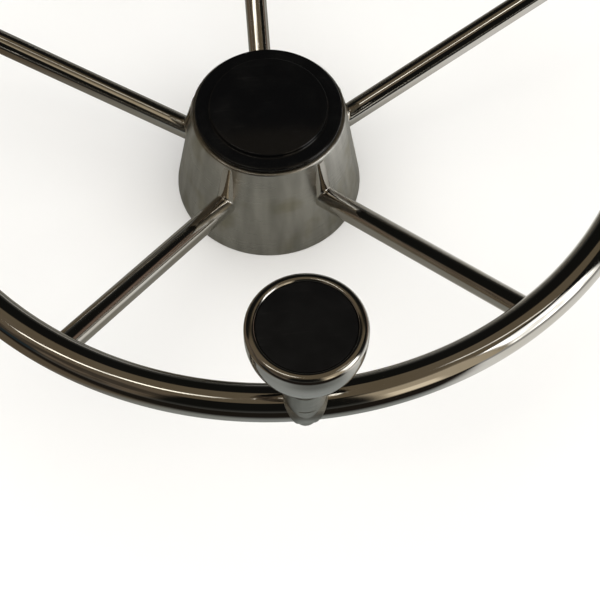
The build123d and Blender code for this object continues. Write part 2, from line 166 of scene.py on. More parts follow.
def make_room():
    """World: panels painted by direction, as azimuth from the front and height above the horizon.

    The lamps and the ceiling are flat shapes overhead, so they are placed by the direction's
    slope across and along, which is its x and y over its z.
    """
    world = bpy.data.worlds.new("room")
    bpy.context.scene.world = world
    world.use_nodes = True
    tree = world.node_tree
    tree.nodes.clear()
    direction = put(tree, "TexCoord", {}).outputs["Generated"]
    x, y, z = put(tree, "SeparateXYZ", {0: direction}).outputs
    azimuth = maths(tree, "DEGREES", maths(tree, "ARCTAN2", x, maths(tree, "MULTIPLY", y, -1.0)))
    height = maths(tree, "DEGREES", maths(tree, "ARCSINE", z))
    rise = maths(tree, "MAXIMUM", z, 0.01)
    across = maths(tree, "DIVIDE", x, rise)
    along = maths(tree, "DIVIDE", y, rise)
    patches = ramp(tree, noise(tree, direction, 4.0, 4.0, 0.6), 0.42, 0.62)

    def panel(under, tone, first, first_limits, second, second_limits, broken=False):
        """A tone between two pairs of limits, each with its soft edge, over what lies under it."""
        wide = between(tree, first, *first_limits)
        share = maths(tree, "MULTIPLY", wide, between(tree, second, *second_limits))
        if broken:
            share = maths(tree, "MULTIPLY", share, ramp(tree, patches, 0.0, 1.0, 0.35, 1.0))
        return mixed(tree, share, under, tone)

    tone = mixed(tree, ramp(tree, height, 0.0, 17.0), HORIZON_TONE, DARK_TONE)
    tone = panel(tone, CEILING_TONE, across, (-1.5, 0.8, 0.05), along, (-0.62, 0.54, 0.04))
    tone = panel(tone, LEFT_WALL_TONE, azimuth, (-112, -31, 3), height, (4, 62, 4), broken=True)
    tone = panel(tone, FAR_RIGHT_TONE, azimuth, (98, 131, 4), height, (-8, 15, 1.5))
    tone = panel(tone, FAR_LEFT_TONE, azimuth, (-134, -96, 4), height, (-8, 7, 2))
    tone = panel(tone, DOORWAY_TONE, azimuth, (-70, -58, 3), height, (-5, 14, 3))
    tone = panel(tone, RIGHT_WALL_TONE, azimuth, (19, 50, 3), height, (-5, 52, 4))
    tone = panel(tone, LIT_WALL_TONE, azimuth, (22, 34, 2), height, (4, 26, 3))
    tone = panel(tone, WINDOW_TONE, azimuth, (51, 77, 1.5), height, (-3, 43, 2), broken=True)
    tone = panel(tone, LONG_LAMP_TONE, across, (-0.85, -0.12, 0.03), along, (-0.222, -0.150, 0.008))
    tone = panel(tone, SHORT_LAMP_TONE, across, (0.36, 0.8, 0.03), along, (-0.14, -0.08, 0.008))
    room = put(tree, "Background", {"Color": tone}).outputs[0]
    backdrop = put(tree, "Background", {"Color": BACKDROP_TONE}).outputs[0]
    seen = put(tree, "LightPath", {}).outputs["Is Camera Ray"]
    surface = put(tree, "MixShader", {0: seen, 1: room, 2: backdrop}).outputs[0]
    put(tree, "OutputWorld", {"Surface": surface})


def make_floor():
    """Pale floor. In the metal it is painted as a darker table top, with painted shade in front (for black
    flags) and to the left, a painted pool of window light on the right, and painted dimming far off.
    """
    material = bpy.data.materials.new("floor")
    material.use_nodes = True
    tree = material.node_tree
    tree.nodes.clear()
    place = put(tree, "TexCoord", {}).outputs["Object"]
    x, y, _ = put(tree, "SeparateXYZ", {0: place}).outputs
    # Painted darker floor for reflections, shaded far off and to the left.
    painted_reflection = mixed(tree, ramp(tree, y, -0.20, -0.12), TABLE_NEAR_TONE, TABLE_TONE)
    painted_reflection = mixed(tree, ramp(tree, y, -0.05, 0.5), painted_reflection, TABLE_FAR_SHADE_TONE)
    painted_reflection = mixed(tree, ramp(tree, x, -0.20, -0.07), SIDE_SHADE_TONE, painted_reflection)
    # Painted shade across the front of the floor, seen only in reflections, in place of black flags.
    front = maths(tree, "ADD", y, maths(tree, "MULTIPLY", x, -0.12))
    painted_reflection = mixed(tree, ramp(tree, front, -0.36, -0.235), FLAG_SHADE_TONE, painted_reflection)
    # A painted pool of window light on the floor to the right, seen only in reflections.
    beside = maths(tree, "ADD", y, maths(tree, "MULTIPLY", x, 1.1))
    painted_window_light = maths(tree, "MULTIPLY", ramp(tree, x, 0.03, 0.15), ramp(tree, beside, -0.16, -0.05))
    painted_window_light = maths(tree, "MULTIPLY", painted_window_light, ramp(tree, y, 0.0, 0.12, 1.0, 0.3))
    painted_window_light = maths(tree, "MULTIPLY", painted_window_light, ramp(tree, x, 0.35, 0.60, 1.0, 0.4))
    painted_reflection = mixed(tree, painted_window_light, painted_reflection, WINDOW_LIGHT_POOL_TONE)
    seen = put(tree, "LightPath", {}).outputs["Is Camera Ray"]
    tone = mixed(tree, seen, painted_reflection, FLOOR_TONE)
    shader = put(tree, "BsdfDiffuse", {"Color": tone}).outputs[0]
    put(tree, "OutputMaterial", {"Surface": shader})
    corner = FLOOR_REACH / 2
    mesh = bpy.data.meshes.new("floor")
    corners = [(-corner, -corner, 0), (corner, -corner, 0), (corner, corner, 0), (-corner, corner, 0)]
    mesh.from_pydata(corners, [], [(0, 1, 2, 3)])
    mesh.materials.append(material)
    floor = bpy.data.objects.new("floor", mesh)
    bpy.context.scene.collection.objects.link(floor)


def make_light():
    """Wide soft light from overhead for the floor and the plastic, kept out of the mirror finish."""
    data = bpy.data.lights.new("sky_light", "SUN")
    data.energy = SKY_LIGHT
    data.angle = SKY_LIGHT_SPREAD
    light = bpy.data.objects.new("sky_light", data)
    light.visible_glossy = False
    bpy.context.scene.collection.objects.link(light)


make_room()
make_floor()
make_light()

# ---------------------------------------------------------------------------------------------
# Rim: one length of stainless tube bent to a ring, its ends welded, ground flush and the whole
# mirror-polished on a buffing wheel. The lines of the buff run along the tube.
# ---------------------------------------------------------------------------------------------
STEEL_TONE = (0.60, 0.585, 0.56, 1)
STEEL_WARM_TONE = (0.56, 0.535, 0.49, 1)
RIM_STEPS = 480
TUBE_STEPS = 56


def closed_mesh(name, points, along, around, wrap_rows=False, sharp=40):
    """Mesh of a grid of points in rows, each row a closed ring. Rings of one point close to a pole."""
    rows, columns = points.shape[:2]
    row, column = np.meshgrid(np.arange(rows - (not wrap_rows)), np.arange(columns), indexing="ij")
    rows_of = np.stack([row, row, row + 1, row + 1], -1).reshape(-1, 4)
    columns_of = np.stack([column, column + 1, column + 1, column], -1).reshape(-1, 4)
    faces = (rows_of % rows) * columns + columns_of % columns
    flat = points.reshape(-1, 3)
    a, b, c, d = (flat[faces[:, k]] for k in range(4))
    volume = np.sum(a * np.cross(b, c)) + np.sum(a * np.cross(c, d))
    uv = np.stack([along[rows_of], around[columns_of]], -1)
    if volume < 0:
        faces, uv = faces[:, ::-1], uv[:, ::-1]
    mesh = bpy.data.meshes.new(name)
    mesh.from_pydata(flat.tolist(), [], faces.tolist())
    mesh.uv_layers.new(name="surface").data.foreach_set("uv", uv.ravel().astype(np.float32))
    shape = bmesh.new()
    shape.from_mesh(mesh)
    bmesh.ops.remove_doubles(shape, verts=shape.verts, dist=1e-7)
    shape.to_mesh(mesh)
    shape.free()
    mesh.polygons.foreach_set("use_smooth", np.ones(len(mesh.polygons), bool))
    mesh.set_sharp_from_angle(angle=math.radians(sharp))
    return mesh


def fit(mesh, body, slot, material, *stands_for):
    """Put a finished mesh on its body, in place of the CAD nodes it stands for."""
    mesh.materials.append(material)
    piece = bpy.data.objects.new(mesh.name, mesh)
    bpy.context.scene.collection.objects.link(piece)
    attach(piece, body)
    if stands_for:
        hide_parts(*stands_for)
    return piece


def finish_material(name):
    """New material with a Principled shader, as its node tree and that shader."""
    material = bpy.data.materials.new(name)
    material.use_nodes = True
    tree = material.node_tree
    tree.nodes.clear()
    shader = put(tree, "BsdfPrincipled", {})
    put(tree, "OutputMaterial", {"Surface": shader.outputs[0]})
    return material, tree, shader


def lined(tree, source, along, around):
    """Noise drawn out into fine lines: few features a metre along the surface, many around it."""
    place = put(tree, "Mapping", {"Vector": source, "Scale": (along, around, 1.0)}).outputs[0]
    return noise(tree, place, 1.0, 2.0)


def polished_steel(name, along, around, depth=0.012, haze=0.045, worn=0.05):
    """Mirror-polished stainless steel: buffing lines, a slight waviness and handled patches."""
    material, tree, shader = finish_material(name)
    coordinates = put(tree, "TexCoord", {})
    surface = coordinates.outputs["UV"]
    solid = coordinates.outputs["Object"]
    handled = noise(tree, solid, 26.0, 4.0, 0.6)
    lines = lined(tree, surface, along, around)
    tone = mixed(tree, ramp(tree, handled, 0.35, 0.7), STEEL_TONE, STEEL_WARM_TONE)
    hazy = maths(tree, "MULTIPLY_ADD", ramp(tree, handled, 0.45, 0.8), worn, haze)
    rough = maths(tree, "MULTIPLY_ADD", lines, 0.03, hazy)
    waves = noise(tree, solid, 90.0, 1.0)
    relief = maths(tree, "MULTIPLY_ADD", waves, 3.0, lines)
    bump = put(tree, "Bump", {"Height": relief, "Strength": depth, "Distance": 0.001})
    shader.inputs["Metallic"].default_value = 1.0
    for key, value in {"Base Color": tone, "Roughness": rough, "Normal": bump.outputs[0]}.items():
        tree.links.new(value, shader.inputs[key])
    return material


def make_rim():
    """Torus: a circle carried round the rim's centre line."""
    turn = np.linspace(0, 2 * np.pi, RIM_STEPS + 1)
    section = np.linspace(0, 2 * np.pi, TUBE_STEPS + 1)
    angle, round_tube = np.meshgrid(turn[:-1], section[:-1], indexing="ij")
    reach = RIM_RADIUS + TUBE_RADIUS * np.cos(round_tube)
    height = RIM_HEIGHT + TUBE_RADIUS * np.sin(round_tube)
    points = np.stack([reach * np.sin(angle), -reach * np.cos(angle), height], -1)
    mesh = closed_mesh("rim", points, turn * RIM_RADIUS, section * TUBE_RADIUS, wrap_rows=True)
    fit(mesh, "wheel", "polished_steel", rim_steel, "rim_tube")


rim_steel = polished_steel("rim_steel", along=14.0, around=2600.0)
make_rim()

# ---------------------------------------------------------------------------------------------
# Spokes: five pieces of the same polished tube. Each runs down the hub's cone, turns at a
# mitred and dressed joint, and rises outwards to the rim, where its end is coped and welded.
# ---------------------------------------------------------------------------------------------
hub_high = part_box("hub_shell")[1]
HUB_BASE_RADIUS = hub_high.x
HUB_TOP_RADIUS = 0.0397
HUB_HEIGHT = hub_high.z
HUB_SHEET = 0.0015
SPOKE_COUNT = 5
SPOKE_RADIUS = 0.0058
SPOKE_DROP = 0.004
SPOKE_SETBACK = 0.0025
SPOKE_BEND_HEIGHT = 0.0315
SPOKE_BEND_INSET = 0.0032
SPOKE_LEG_PROUD = 0.00035
SPOKE_LEG_GAP = 0.002
CREASE_ROUND = 0.0014
WELD_RADIUS = 0.00045
WELD_RIPPLE = 0.12  # share of the bead's radius
WELD_RIPPLES = 48
LEG_RINGS = 25
CREASE_RINGS = 7
ARM_RINGS = 97
HALVINGS = 40


def cone_radius(height):
    """Outer radius of the hub at a height: a straight line from its foot to its top."""
    share = height / HUB_HEIGHT
    return HUB_BASE_RADIUS * (1 - share) + HUB_TOP_RADIUS * share


def unit(vector):
    """The same direction at length 1."""
    return vector / np.linalg.norm(vector, axis=-1, keepdims=True)


leg_top = HUB_HEIGHT - HUB_SHEET - SPOKE_LEG_GAP
LEG_END = np.array([cone_radius(leg_top) + SPOKE_LEG_PROUD - SPOKE_RADIUS, 0, leg_top])
BEND = np.array([cone_radius(SPOKE_BEND_HEIGHT) - SPOKE_BEND_INSET, 0, SPOKE_BEND_HEIGHT])
MEETING = np.array([RIM_RADIUS, 0, RIM_HEIGHT - SPOKE_DROP])
LEG_WAY = unit(BEND - LEG_END)
ARM_WAY = unit(MEETING - BEND)
ARM_LENGTH = np.linalg.norm(MEETING - BEND) - SPOKE_SETBACK / ARM_WAY[0]


def spoke_surface(steps=64):
    """A circle carried along two straight stretches, as lines that meet on the mitre's plane.

    Each line is cut short of the mitre and joined by a quadratic curve, which rounds the crease.
    """
    turn = np.linspace(0, 2 * np.pi, steps + 1)[:-1, None]
    side = np.array([0, 1, 0])
    leg_offset = SPOKE_RADIUS * (np.cos(turn) * side + np.sin(turn) * np.cross(LEG_WAY, side))
    arm_offset = SPOKE_RADIUS * (np.cos(turn) * side + np.sin(turn) * np.cross(ARM_WAY, side))
    mitre = unit(LEG_WAY + ARM_WAY)
    corner = BEND + leg_offset - (leg_offset @ mitre / (LEG_WAY @ mitre))[:, None] * LEG_WAY
    leg_start, leg_stop = LEG_END + leg_offset, corner - CREASE_ROUND * LEG_WAY
    arm_start, arm_stop = corner + CREASE_ROUND * ARM_WAY, BEND + ARM_LENGTH * ARM_WAY + arm_offset
    share = np.linspace(0, 1, LEG_RINGS)[:, None, None]
    leg = leg_start + share * (leg_stop - leg_start)
    bow = np.linspace(0, 1, CREASE_RINGS)[1:-1, None, None]
    crease = (1 - bow) ** 2 * leg_stop + 2 * bow * (1 - bow) * corner + bow**2 * arm_start
    share = np.linspace(0, 1, ARM_RINGS)[:, None, None]
    arm = arm_start + share * (arm_stop - arm_start)
    ends = [np.broadcast_to(ring.mean(0), ring.shape)[None] for ring in (leg_start, arm_stop)]
    return np.concatenate([ends[0], leg, crease, arm, ends[1]])


def weld_surface(steps=96, around=12):
    """A thin bead carried round the closed line where the spoke's lines enter the rim's tube.

    The line is found by halving each one's length until it lies a tube radius from the rim's centre line.
    """
    turn = np.linspace(0, 2 * np.pi, steps + 1)[:-1, None]
    side = np.array([0, 1, 0])
    outward = np.cos(turn) * side + np.sin(turn) * np.cross(ARM_WAY, side)
    start = BEND + SPOKE_RADIUS * outward
    near, far = np.zeros((steps, 1)), np.full((steps, 1), ARM_LENGTH)
    for _ in range(HALVINGS):
        middle = (near + far) / 2
        point = start + middle * ARM_WAY
        reach = np.hypot(np.hypot(point[:, 0], point[:, 1]) - RIM_RADIUS, point[:, 2] - RIM_HEIGHT)
        inside = (reach < TUBE_RADIUS)[:, None]
        near, far = np.where(inside, near, middle), np.where(inside, middle, far)
    line = start + near * ARM_WAY
    tangent = unit(np.roll(line, -1, 0) - np.roll(line, 1, 0))
    across = unit(np.cross(tangent, outward))
    bead = np.linspace(0, 2 * np.pi, around + 1)[:-1]
    ripple = 1 + WELD_RIPPLE * np.sin(turn * WELD_RIPPLES)
    round_bead = np.cos(bead)[:, None] * outward[:, None] + np.sin(bead)[:, None] * across[:, None]
    return line[:, None] + (WELD_RADIUS * ripple)[:, None] * round_bead


def turned_to(points, place):
    """Points made over +X, turned so many spoke pitches round from -Y."""
    angle = -np.pi / 2 + place * 2 * np.pi / SPOKE_COUNT
    x, y, z = np.moveaxis(points, -1, 0)
    turned = (x * np.cos(angle) - y * np.sin(angle), x * np.sin(angle) + y * np.cos(angle), z)
    return np.stack(turned, -1)


def make_spokes():
    """One tube and one weld bead, turned to five places with the front of the rim left free."""
    tube, weld = spoke_surface(), weld_surface()
    along = np.concatenate([[0], np.cumsum(np.linalg.norm(np.diff(tube.mean(1), axis=0), axis=1))])
    around = np.linspace(0, 2 * np.pi * SPOKE_RADIUS, tube.shape[1] + 1)
    weld_along = np.linspace(0, 2 * np.pi * SPOKE_RADIUS, len(weld) + 1)
    weld_around = np.linspace(0, 2 * np.pi * WELD_RADIUS, weld.shape[1] + 1)
    for number in range(1, SPOKE_COUNT + 1):
        mesh = closed_mesh(f"spoke_tube_{number}", turned_to(tube, number - 0.5), along, around)
        fit(mesh, "wheel", "polished_steel", spoke_steel, f"spoke_{number}")
        bead = turned_to(weld, number - 0.5)
        mesh = closed_mesh(f"spoke_weld_{number}", bead, weld_along, weld_around, wrap_rows=True)
        fit(mesh, "wheel", "polished_steel", weld_steel)


spoke_steel = polished_steel("spoke_steel", along=20.0, around=2600.0, worn=0.08)
weld_steel = polished_steel("weld_steel", along=900.0, around=900.0, depth=0.05, worn=0.2)
make_spokes()

# ---------------------------------------------------------------------------------------------
# Hub: a cone spun from stainless sheet, its top edge rolled over and turned in as a flange. The
# outside is finished with an abrasive belt as the cone turns, so fine lines run round it.
# ---------------------------------------------------------------------------------------------
SATIN_TONE = (0.54, 0.535, 0.515, 1)
# Warm tone of the hub's blotches: painted reflections of the table in the satin finish.
SATIN_REFLECTED_BLOTCH_TONE = (0.40, 0.38, 0.30, 1)
HUB_FLANGE_WIDTH = 0.0062
HUB_LIP_ROUND = 0.0013
HUB_FOOT_ROUND = 0.0004


def profile(corners, closed=True, spacing=0.0015):
    """Outline through (radius, height, rounding) corners, cut in even steps between them.

    A rounded corner becomes the arc that touches both its sides: its centre lies on the line that
    halves the corner, and its points are shares of the turn between the two places it touches.
    """
    places = np.array([corner[:2] for corner in corners])
    arcs = []
    for number, (_, _, rounding) in enumerate(corners):
        here = places[number]
        if rounding == 0:
            arcs.append(here[None])
            continue
        back = unit(places[number - 1] - here)
        on = unit(places[(number + 1) % len(corners)] - here)
        half = math.acos(float(back @ on)) / 2
        centre = here + unit(back + on) * rounding / math.sin(half)
        start, stop = here + back * rounding / math.tan(half), here + on * rounding / math.tan(half)
        sweep = math.pi - 2 * half
        share = np.linspace(0, 1, 9)[:, None]
        arc = np.sin((1 - share) * sweep) * (start - centre) + np.sin(share * sweep) * (stop - centre)
        arcs.append(centre + arc / math.sin(sweep))
    joined = []
    for number, arc in enumerate(arcs):
        joined.append(arc)
        if closed or number + 1 < len(arcs):
            gap = arcs[(number + 1) % len(arcs)][0] - arc[-1]
            count = max(1, math.ceil(np.linalg.norm(gap) / spacing))
            joined.append(arc[-1] + gap * np.arange(1, count)[:, None] / count)
    return np.concatenate(joined)


def lathed(name, outline, middle=(0.0, 0.0), steps=192, closed=True, sharp=40):
    """The outline turned about a vertical axis. An open outline starts and ends on the axis."""
    turn = np.linspace(0, 2 * np.pi, steps + 1)
    radius, height = outline[:, :1], outline[:, 1:]
    x = middle[0] + radius * np.sin(turn[:-1])
    y = middle[1] - radius * np.cos(turn[:-1])
    points = np.stack([x, y, np.broadcast_to(height, x.shape)], -1)
    loop = np.concatenate([outline, outline[:1]])
    along = np.concatenate([[0], np.cumsum(np.linalg.norm(np.diff(loop, axis=0), axis=1))])
    return closed_mesh(name, points, along, turn * outline[:, 0].max(), wrap_rows=closed, sharp=sharp)


def satin_steel(name, coordinate, stretch, tone, blotch, rough, depth, marks):
    """Belt-finished steel: fine lines drawn out one way, painted faint upright streaks that stand in for
    stretched reflections, and warm blotches in the colour.
    """
    material, tree, shader = finish_material(name)
    coordinates = put(tree, "TexCoord", {})
    solid = coordinates.outputs["Object"]
    place = put(tree, "Mapping", {"Vector": coordinates.outputs[coordinate], "Scale": stretch}).outputs[0]
    lines = noise(tree, place, 1.0, 4.0, 0.65)
    # Warm darker blotches painted into the colour, which also dull the finish.
    blotches = ramp(tree, noise(tree, solid, 42.0, 3.0, 0.55), 0.50, 0.72)
    # Painted upright streaks in the colour, standing in for reflections stretched by the brush lines.
    upright = put(tree, "Mapping", {"Vector": solid, "Scale": (130, 130, 14)}).outputs[0]
    painted_streaks = noise(tree, upright, 1.0, 2.0)
    mottled = mixed(tree, maths(tree, "MULTIPLY", blotches, 0.75), tone, blotch)
    value = ramp(tree, painted_streaks, 0.25, 0.75, 0.80, 1.18)
    value = maths(tree, "MULTIPLY", value, ramp(tree, lines, 0.3, 0.7, 1 - marks, 1 + marks))
    shade = put(tree, "HueSaturation", {"Color": mottled, "Value": value})
    haze = ramp(tree, lines, 0.2, 0.8, rough - 0.05, rough + 0.06)
    haze = maths(tree, "ADD", haze, maths(tree, "MULTIPLY", blotches, 0.06))
    bump = put(tree, "Bump", {"Height": lines, "Strength": depth, "Distance": 0.0004})
    shader.inputs["Metallic"].default_value = 1.0
    shader.inputs["Anisotropic"].default_value = 0.45
    for key, value in {"Base Color": shade.outputs[0], "Roughness": haze, "Normal": bump.outputs[0]}.items():
        tree.links.new(value, shader.inputs[key])
    return material


def make_hub():
    """The cone's wall and turned-in flange as one closed outline, turned about the wheel's axis."""
    flange_edge = HUB_TOP_RADIUS - HUB_FLANGE_WIDTH
    flange_base = HUB_HEIGHT - HUB_SHEET
    wall = profile([
        (HUB_BASE_RADIUS - HUB_SHEET, 0, HUB_FOOT_ROUND),
        (HUB_BASE_RADIUS, 0, HUB_FOOT_ROUND),
        (HUB_TOP_RADIUS, HUB_HEIGHT, HUB_LIP_ROUND),
        (flange_edge, HUB_HEIGHT, 0),
        (flange_edge, flange_base, 0),
        (cone_radius(flange_base) - HUB_SHEET, flange_base, 0),
    ])
    mesh = lathed("hub_cone", wall, steps=256)
    fit(mesh, "wheel", "satin_steel", hub_steel, "hub_shell")


hub_steel = satin_steel(
    "hub_steel", "UV", (1500.0, 9.0, 1.0),
    SATIN_TONE, SATIN_REFLECTED_BLOTCH_TONE, rough=0.30, depth=0.045, marks=0.03,
)
make_hub()

# ---------------------------------------------------------------------------------------------
# Inside the hub: a turned boss bored to the shaft's taper, a cut disc that carries it, and the
# plated washer and nut that pull it on to the shaft.
# ---------------------------------------------------------------------------------------------
MILL_TONE = (0.42, 0.42, 0.41, 1)
MILL_STAIN_TONE = (0.30, 0.285, 0.26, 1)
ZINC_TONE = (0.60, 0.61, 0.60, 1)
ZINC_STAIN_TONE = (0.52, 0.50, 0.42, 1)


def refinish(material, *names):
    """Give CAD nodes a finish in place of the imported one."""
    for name in names:
        nodes[name].material_slots[0].material = material


mill_steel = satin_steel(
    "mill_steel", "Object", (20.0, 20.0, 2200.0),
    MILL_TONE, MILL_STAIN_TONE, rough=0.36, depth=0.25, marks=0.08,
)
zinc_plate = satin_steel(
    "zinc_plate", "Object", (700.0, 700.0, 700.0),
    ZINC_TONE, ZINC_STAIN_TONE, rough=0.30, depth=0.06, marks=0.04,
)
refinish(mill_steel, "hub_web", "hub_boss")
refinish(zinc_plate, "shaft_washer", "shaft_nut")

# ---------------------------------------------------------------------------------------------
# Hub cap: one gloss black moulding that snaps into the flange, with a rounded rim, a low step
# and a slightly crowned middle. Its legs and barbs catch under the flange between the spokes.
# ---------------------------------------------------------------------------------------------
BLACK_TONE = (0.0025, 0.0025, 0.0026, 1)
BLACK_WORN_TONE = (0.008, 0.0078, 0.0072, 1)
cap_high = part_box("hub_cap")[1]
CAP_RADIUS = cap_high.x
CAP_FLANGE_WIDTH = 0.0075
CAP_FLANGE_THICKNESS = 0.0026
CAP_STEP_HEIGHT = 0.0022
CAP_STEP_RADIUS = CAP_RADIUS - CAP_FLANGE_WIDTH
CAP_FLANGE_TOP = HUB_HEIGHT + CAP_FLANGE_THICKNESS
CAP_STEP_TOP = CAP_FLANGE_TOP + CAP_STEP_HEIGHT
CAP_CROWN = cap_high.z - CAP_STEP_TOP
CAP_LEAD = 0.00008  # rise of the crown where the step's edge begins to round
CAP_WALL = 0.002
CAP_EDGE_ROUND = 0.0011
CAP_STEP_ROUND = 0.00095
ROUND_SHARE = 0.9  # of a rounding, where its sides are short
DOME_MARGIN = 1.2  # roundings in from the step's edge, where the dome stops
SNAP_CLEARANCE = 0.0002
SNAP_RADIUS = HUB_TOP_RADIUS - HUB_FLANGE_WIDTH - SNAP_CLEARANCE
SNAP_THICKNESS = 0.0018
SNAP_LENGTH = 0.0056
SNAP_ROOT = 0.0005  # up inside the cap
SNAP_BARB = 0.0011
SNAP_GAP = 0.00015  # between the barb and the flange
SNAP_FOOT_ROUND = 0.0003
SNAP_BARB_ROUND = 0.0002
SNAP_ARC = math.radians(26)
SNAP_SPACING = 0.001


def moulded_black(name, rough, worn, gloss, grain, depth):
    """Black plastic: faint fine grain, hairline scuffs that dull the gloss, and dust-grey wear."""
    material, tree, shader = finish_material(name)
    solid = put(tree, "TexCoord", {}).outputs["Object"]
    cloud = ramp(tree, noise(tree, solid, 60.0, 4.0, 0.6), 0.42, 0.72)
    place = put(tree, "Mapping", {"Vector": solid, "Rotation": (0, 0, 0.5), "Scale": (60, 1400, 60)})
    scuffs = ramp(tree, noise(tree, place.outputs[0], 1.0, 2.0), 0.60, 0.75)
    wear = maths(tree, "MULTIPLY", cloud, scuffs)
    tone = mixed(tree, maths(tree, "MULTIPLY_ADD", cloud, 0.2, wear), BLACK_TONE, BLACK_WORN_TONE)
    haze = ramp(tree, cloud, 0.0, 1.0, rough, rough + worn)
    haze = maths(tree, "MULTIPLY_ADD", wear, worn, haze)
    fine = noise(tree, solid, grain, 2.0)
    bump = put(tree, "Bump", {"Height": fine, "Strength": depth, "Distance": 0.0002})
    shader.inputs["Specular IOR Level"].default_value = gloss
    for key, value in {"Base Color": tone, "Roughness": haze, "Normal": bump.outputs[0]}.items():
        tree.links.new(value, shader.inputs[key])
    return material


def crown(radius, top, rise, steps=24):
    """Outline of a shallow dome from the axis to its edge: height falls with the square of the radius."""
    reach = np.linspace(0, radius, steps)
    return np.stack([reach, top - rise * (reach / radius) ** 2], -1)


def snap_leg(place, steps=16):
    """A barbed hook section carried round an arc of the cap's skirt, closed at both ends."""
    catch = HUB_HEIGHT - HUB_SHEET - SNAP_GAP
    inner = SNAP_RADIUS - SNAP_THICKNESS
    hook = profile([
        (inner, HUB_HEIGHT + SNAP_ROOT, 0),
        (inner, HUB_HEIGHT - SNAP_LENGTH, SNAP_FOOT_ROUND),
        (SNAP_RADIUS, HUB_HEIGHT - SNAP_LENGTH, SNAP_FOOT_ROUND),
        (SNAP_RADIUS + SNAP_BARB, catch - SNAP_BARB, SNAP_BARB_ROUND),
        (SNAP_RADIUS + SNAP_BARB, catch, SNAP_BARB_ROUND),
        (SNAP_RADIUS, catch, 0),
        (SNAP_RADIUS, HUB_HEIGHT + SNAP_ROOT, 0),
    ], spacing=SNAP_SPACING)
    turn = np.linspace(-SNAP_ARC / 2, SNAP_ARC / 2, steps)[:, None]
    x, y = hook[:, 0] * np.cos(turn), hook[:, 0] * np.sin(turn)
    rows = np.stack([x, y, np.broadcast_to(hook[:, 1], x.shape)], -1)
    caps = [np.broadcast_to(row.mean(0), row.shape)[None] for row in (rows[0], rows[-1])]
    rows = turned_to(np.concatenate([caps[0], rows, caps[1]]), place)
    along, around = np.arange(len(rows)) * SNAP_SPACING, np.arange(len(hook) + 1) * SNAP_SPACING
    return closed_mesh(f"cap_leg_{place + 1}", rows, along, around)


def make_cap():
    """Dome, step, flange and hollow underside as one outline from axis to axis."""
    skirt = SNAP_RADIUS - SNAP_THICKNESS
    underside = CAP_FLANGE_TOP - CAP_WALL
    edges = profile([
        (CAP_STEP_RADIUS - CAP_STEP_ROUND, CAP_STEP_TOP + CAP_LEAD, 0),
        (CAP_STEP_RADIUS, CAP_STEP_TOP, CAP_STEP_ROUND * ROUND_SHARE),
        (CAP_STEP_RADIUS, CAP_FLANGE_TOP, CAP_STEP_ROUND * ROUND_SHARE),
        (CAP_RADIUS, CAP_FLANGE_TOP, CAP_EDGE_ROUND),
        (CAP_RADIUS, HUB_HEIGHT, CAP_EDGE_ROUND),
        (skirt, HUB_HEIGHT, 0),
        (skirt, underside, 0),
        (CAP_STEP_RADIUS - CAP_WALL, underside, 0),
        (CAP_STEP_RADIUS - CAP_WALL, CAP_STEP_TOP - CAP_WALL, 0),
        (0, CAP_STEP_TOP - CAP_WALL, 0),
    ], closed=False, spacing=0.001)
    dome = crown(CAP_STEP_RADIUS, CAP_STEP_TOP + CAP_CROWN, CAP_CROWN, 40)
    dome = dome[dome[:, 0] < CAP_STEP_RADIUS - CAP_STEP_ROUND * DOME_MARGIN]
    outline = np.concatenate([dome, edges[1:]])
    mesh = lathed("cap", outline, closed=False, sharp=50)
    fit(mesh, "wheel", "black_plastic", cap_black, "hub_cap")
    for place in range(SPOKE_COUNT):
        fit(snap_leg(place), "wheel", "black_plastic", cap_black)


cap_black = moulded_black("cap_black", rough=0.10, worn=0.08, gloss=0.35, grain=900.0, depth=0.02)
make_cap()

# ---------------------------------------------------------------------------------------------
# Knob mounting: a turned and cross-brushed saddle on the rim, a plated spindle down through the
# tube, and a coped washer and low sleeve nut drawn up from below.
# ---------------------------------------------------------------------------------------------
SADDLE_TONE = (0.56, 0.56, 0.53, 1)
SADDLE_STAIN_TONE = (0.47, 0.46, 0.41, 1)
saddle_steel = satin_steel(
    "saddle_steel", "Object", (60.0, 60.0, 1700.0),
    SADDLE_TONE, SADDLE_STAIN_TONE, rough=0.54, depth=0.22, marks=0.10,
)
refinish(saddle_steel, "knob_saddle")
refinish(zinc_plate, "knob_spindle", "knob_retaining_washer", "knob_lock_nut")
turned_steel = satin_steel(
    "turned_steel", "Object", (300.0, 300.0, 1800.0),
    STEEL_TONE, STEEL_WARM_TONE, rough=0.16, depth=0.05, marks=0.03,
)
refinish(turned_steel, "rim_under_washer", "spindle_sleeve_nut")

# ---------------------------------------------------------------------------------------------
# Spinner knob: a polished steel bell, hollow below the seat for its inlay, with a rolled bead
# round the top and a neck that is bored for two flanged nylon bushes.
# ---------------------------------------------------------------------------------------------
NYLON_TONE = (0.78, 0.75, 0.67, 1)
NYLON_SHADE_TONE = (0.66, 0.61, 0.50, 1)
knob_low, knob_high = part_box("knob_body")
KNOB_MIDDLE = ((knob_low.x + knob_high.x) / 2, (knob_low.y + knob_high.y) / 2)
KNOB_RADIUS = (knob_high.y - knob_low.y) / 2
KNOB_END, KNOB_TOP = knob_low.z, knob_high.z
SHOULDER_DEPTH = 0.0063
SHOULDER_HEIGHT = KNOB_TOP - SHOULDER_DEPTH
WAIST_RADIUS = 0.0184
WAIST_DEPTH = 0.0293
NECK_RADIUS = 0.0096
BUSH_RADIUS = 0.006
BUSH_FLANGE_RADIUS = 0.008
NECK_BORE = 0.0046
NECK_STEP = 0.0001  # in from the bell's wall
KNOB_WALL = 0.002
BEAD_WIDTH = 0.00475
SEAT_RADIUS = KNOB_RADIUS - BEAD_WIDTH
BEAD_OUTER_ROUND = 0.0029
